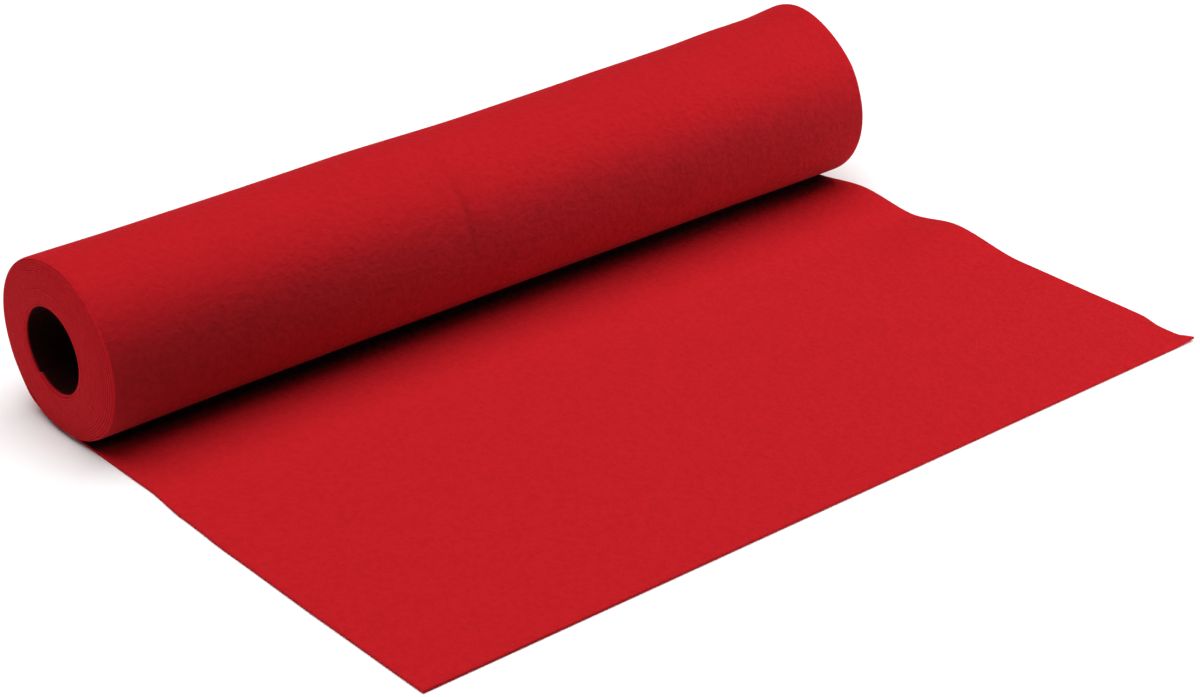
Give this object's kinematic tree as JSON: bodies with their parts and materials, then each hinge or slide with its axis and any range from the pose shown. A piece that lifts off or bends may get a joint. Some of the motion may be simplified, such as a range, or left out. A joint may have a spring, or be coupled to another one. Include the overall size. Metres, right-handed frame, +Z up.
{
  "type": "roll of felt",
  "caption": "Coreless roll of craft felt with a round hole through it, lying on its own loose end, which runs out flat in front.",
  "frame": {"origin": "on the surface that the felt lies on, midway along the roll and under its axis", "axes": "+X along the roll's axis, +Z up, and the loose end runs out towards -Y"},
  "size_m": [0.4509, 0.3118, 0.0883],
  "materials": {
    "felt": "matt needled felt, deep red, slightly fuzzy"
  },
  "bodies": {
    "root": {"felt_roll": "felt", "felt_loose_end": "felt"}
  },
  "joints": []
}
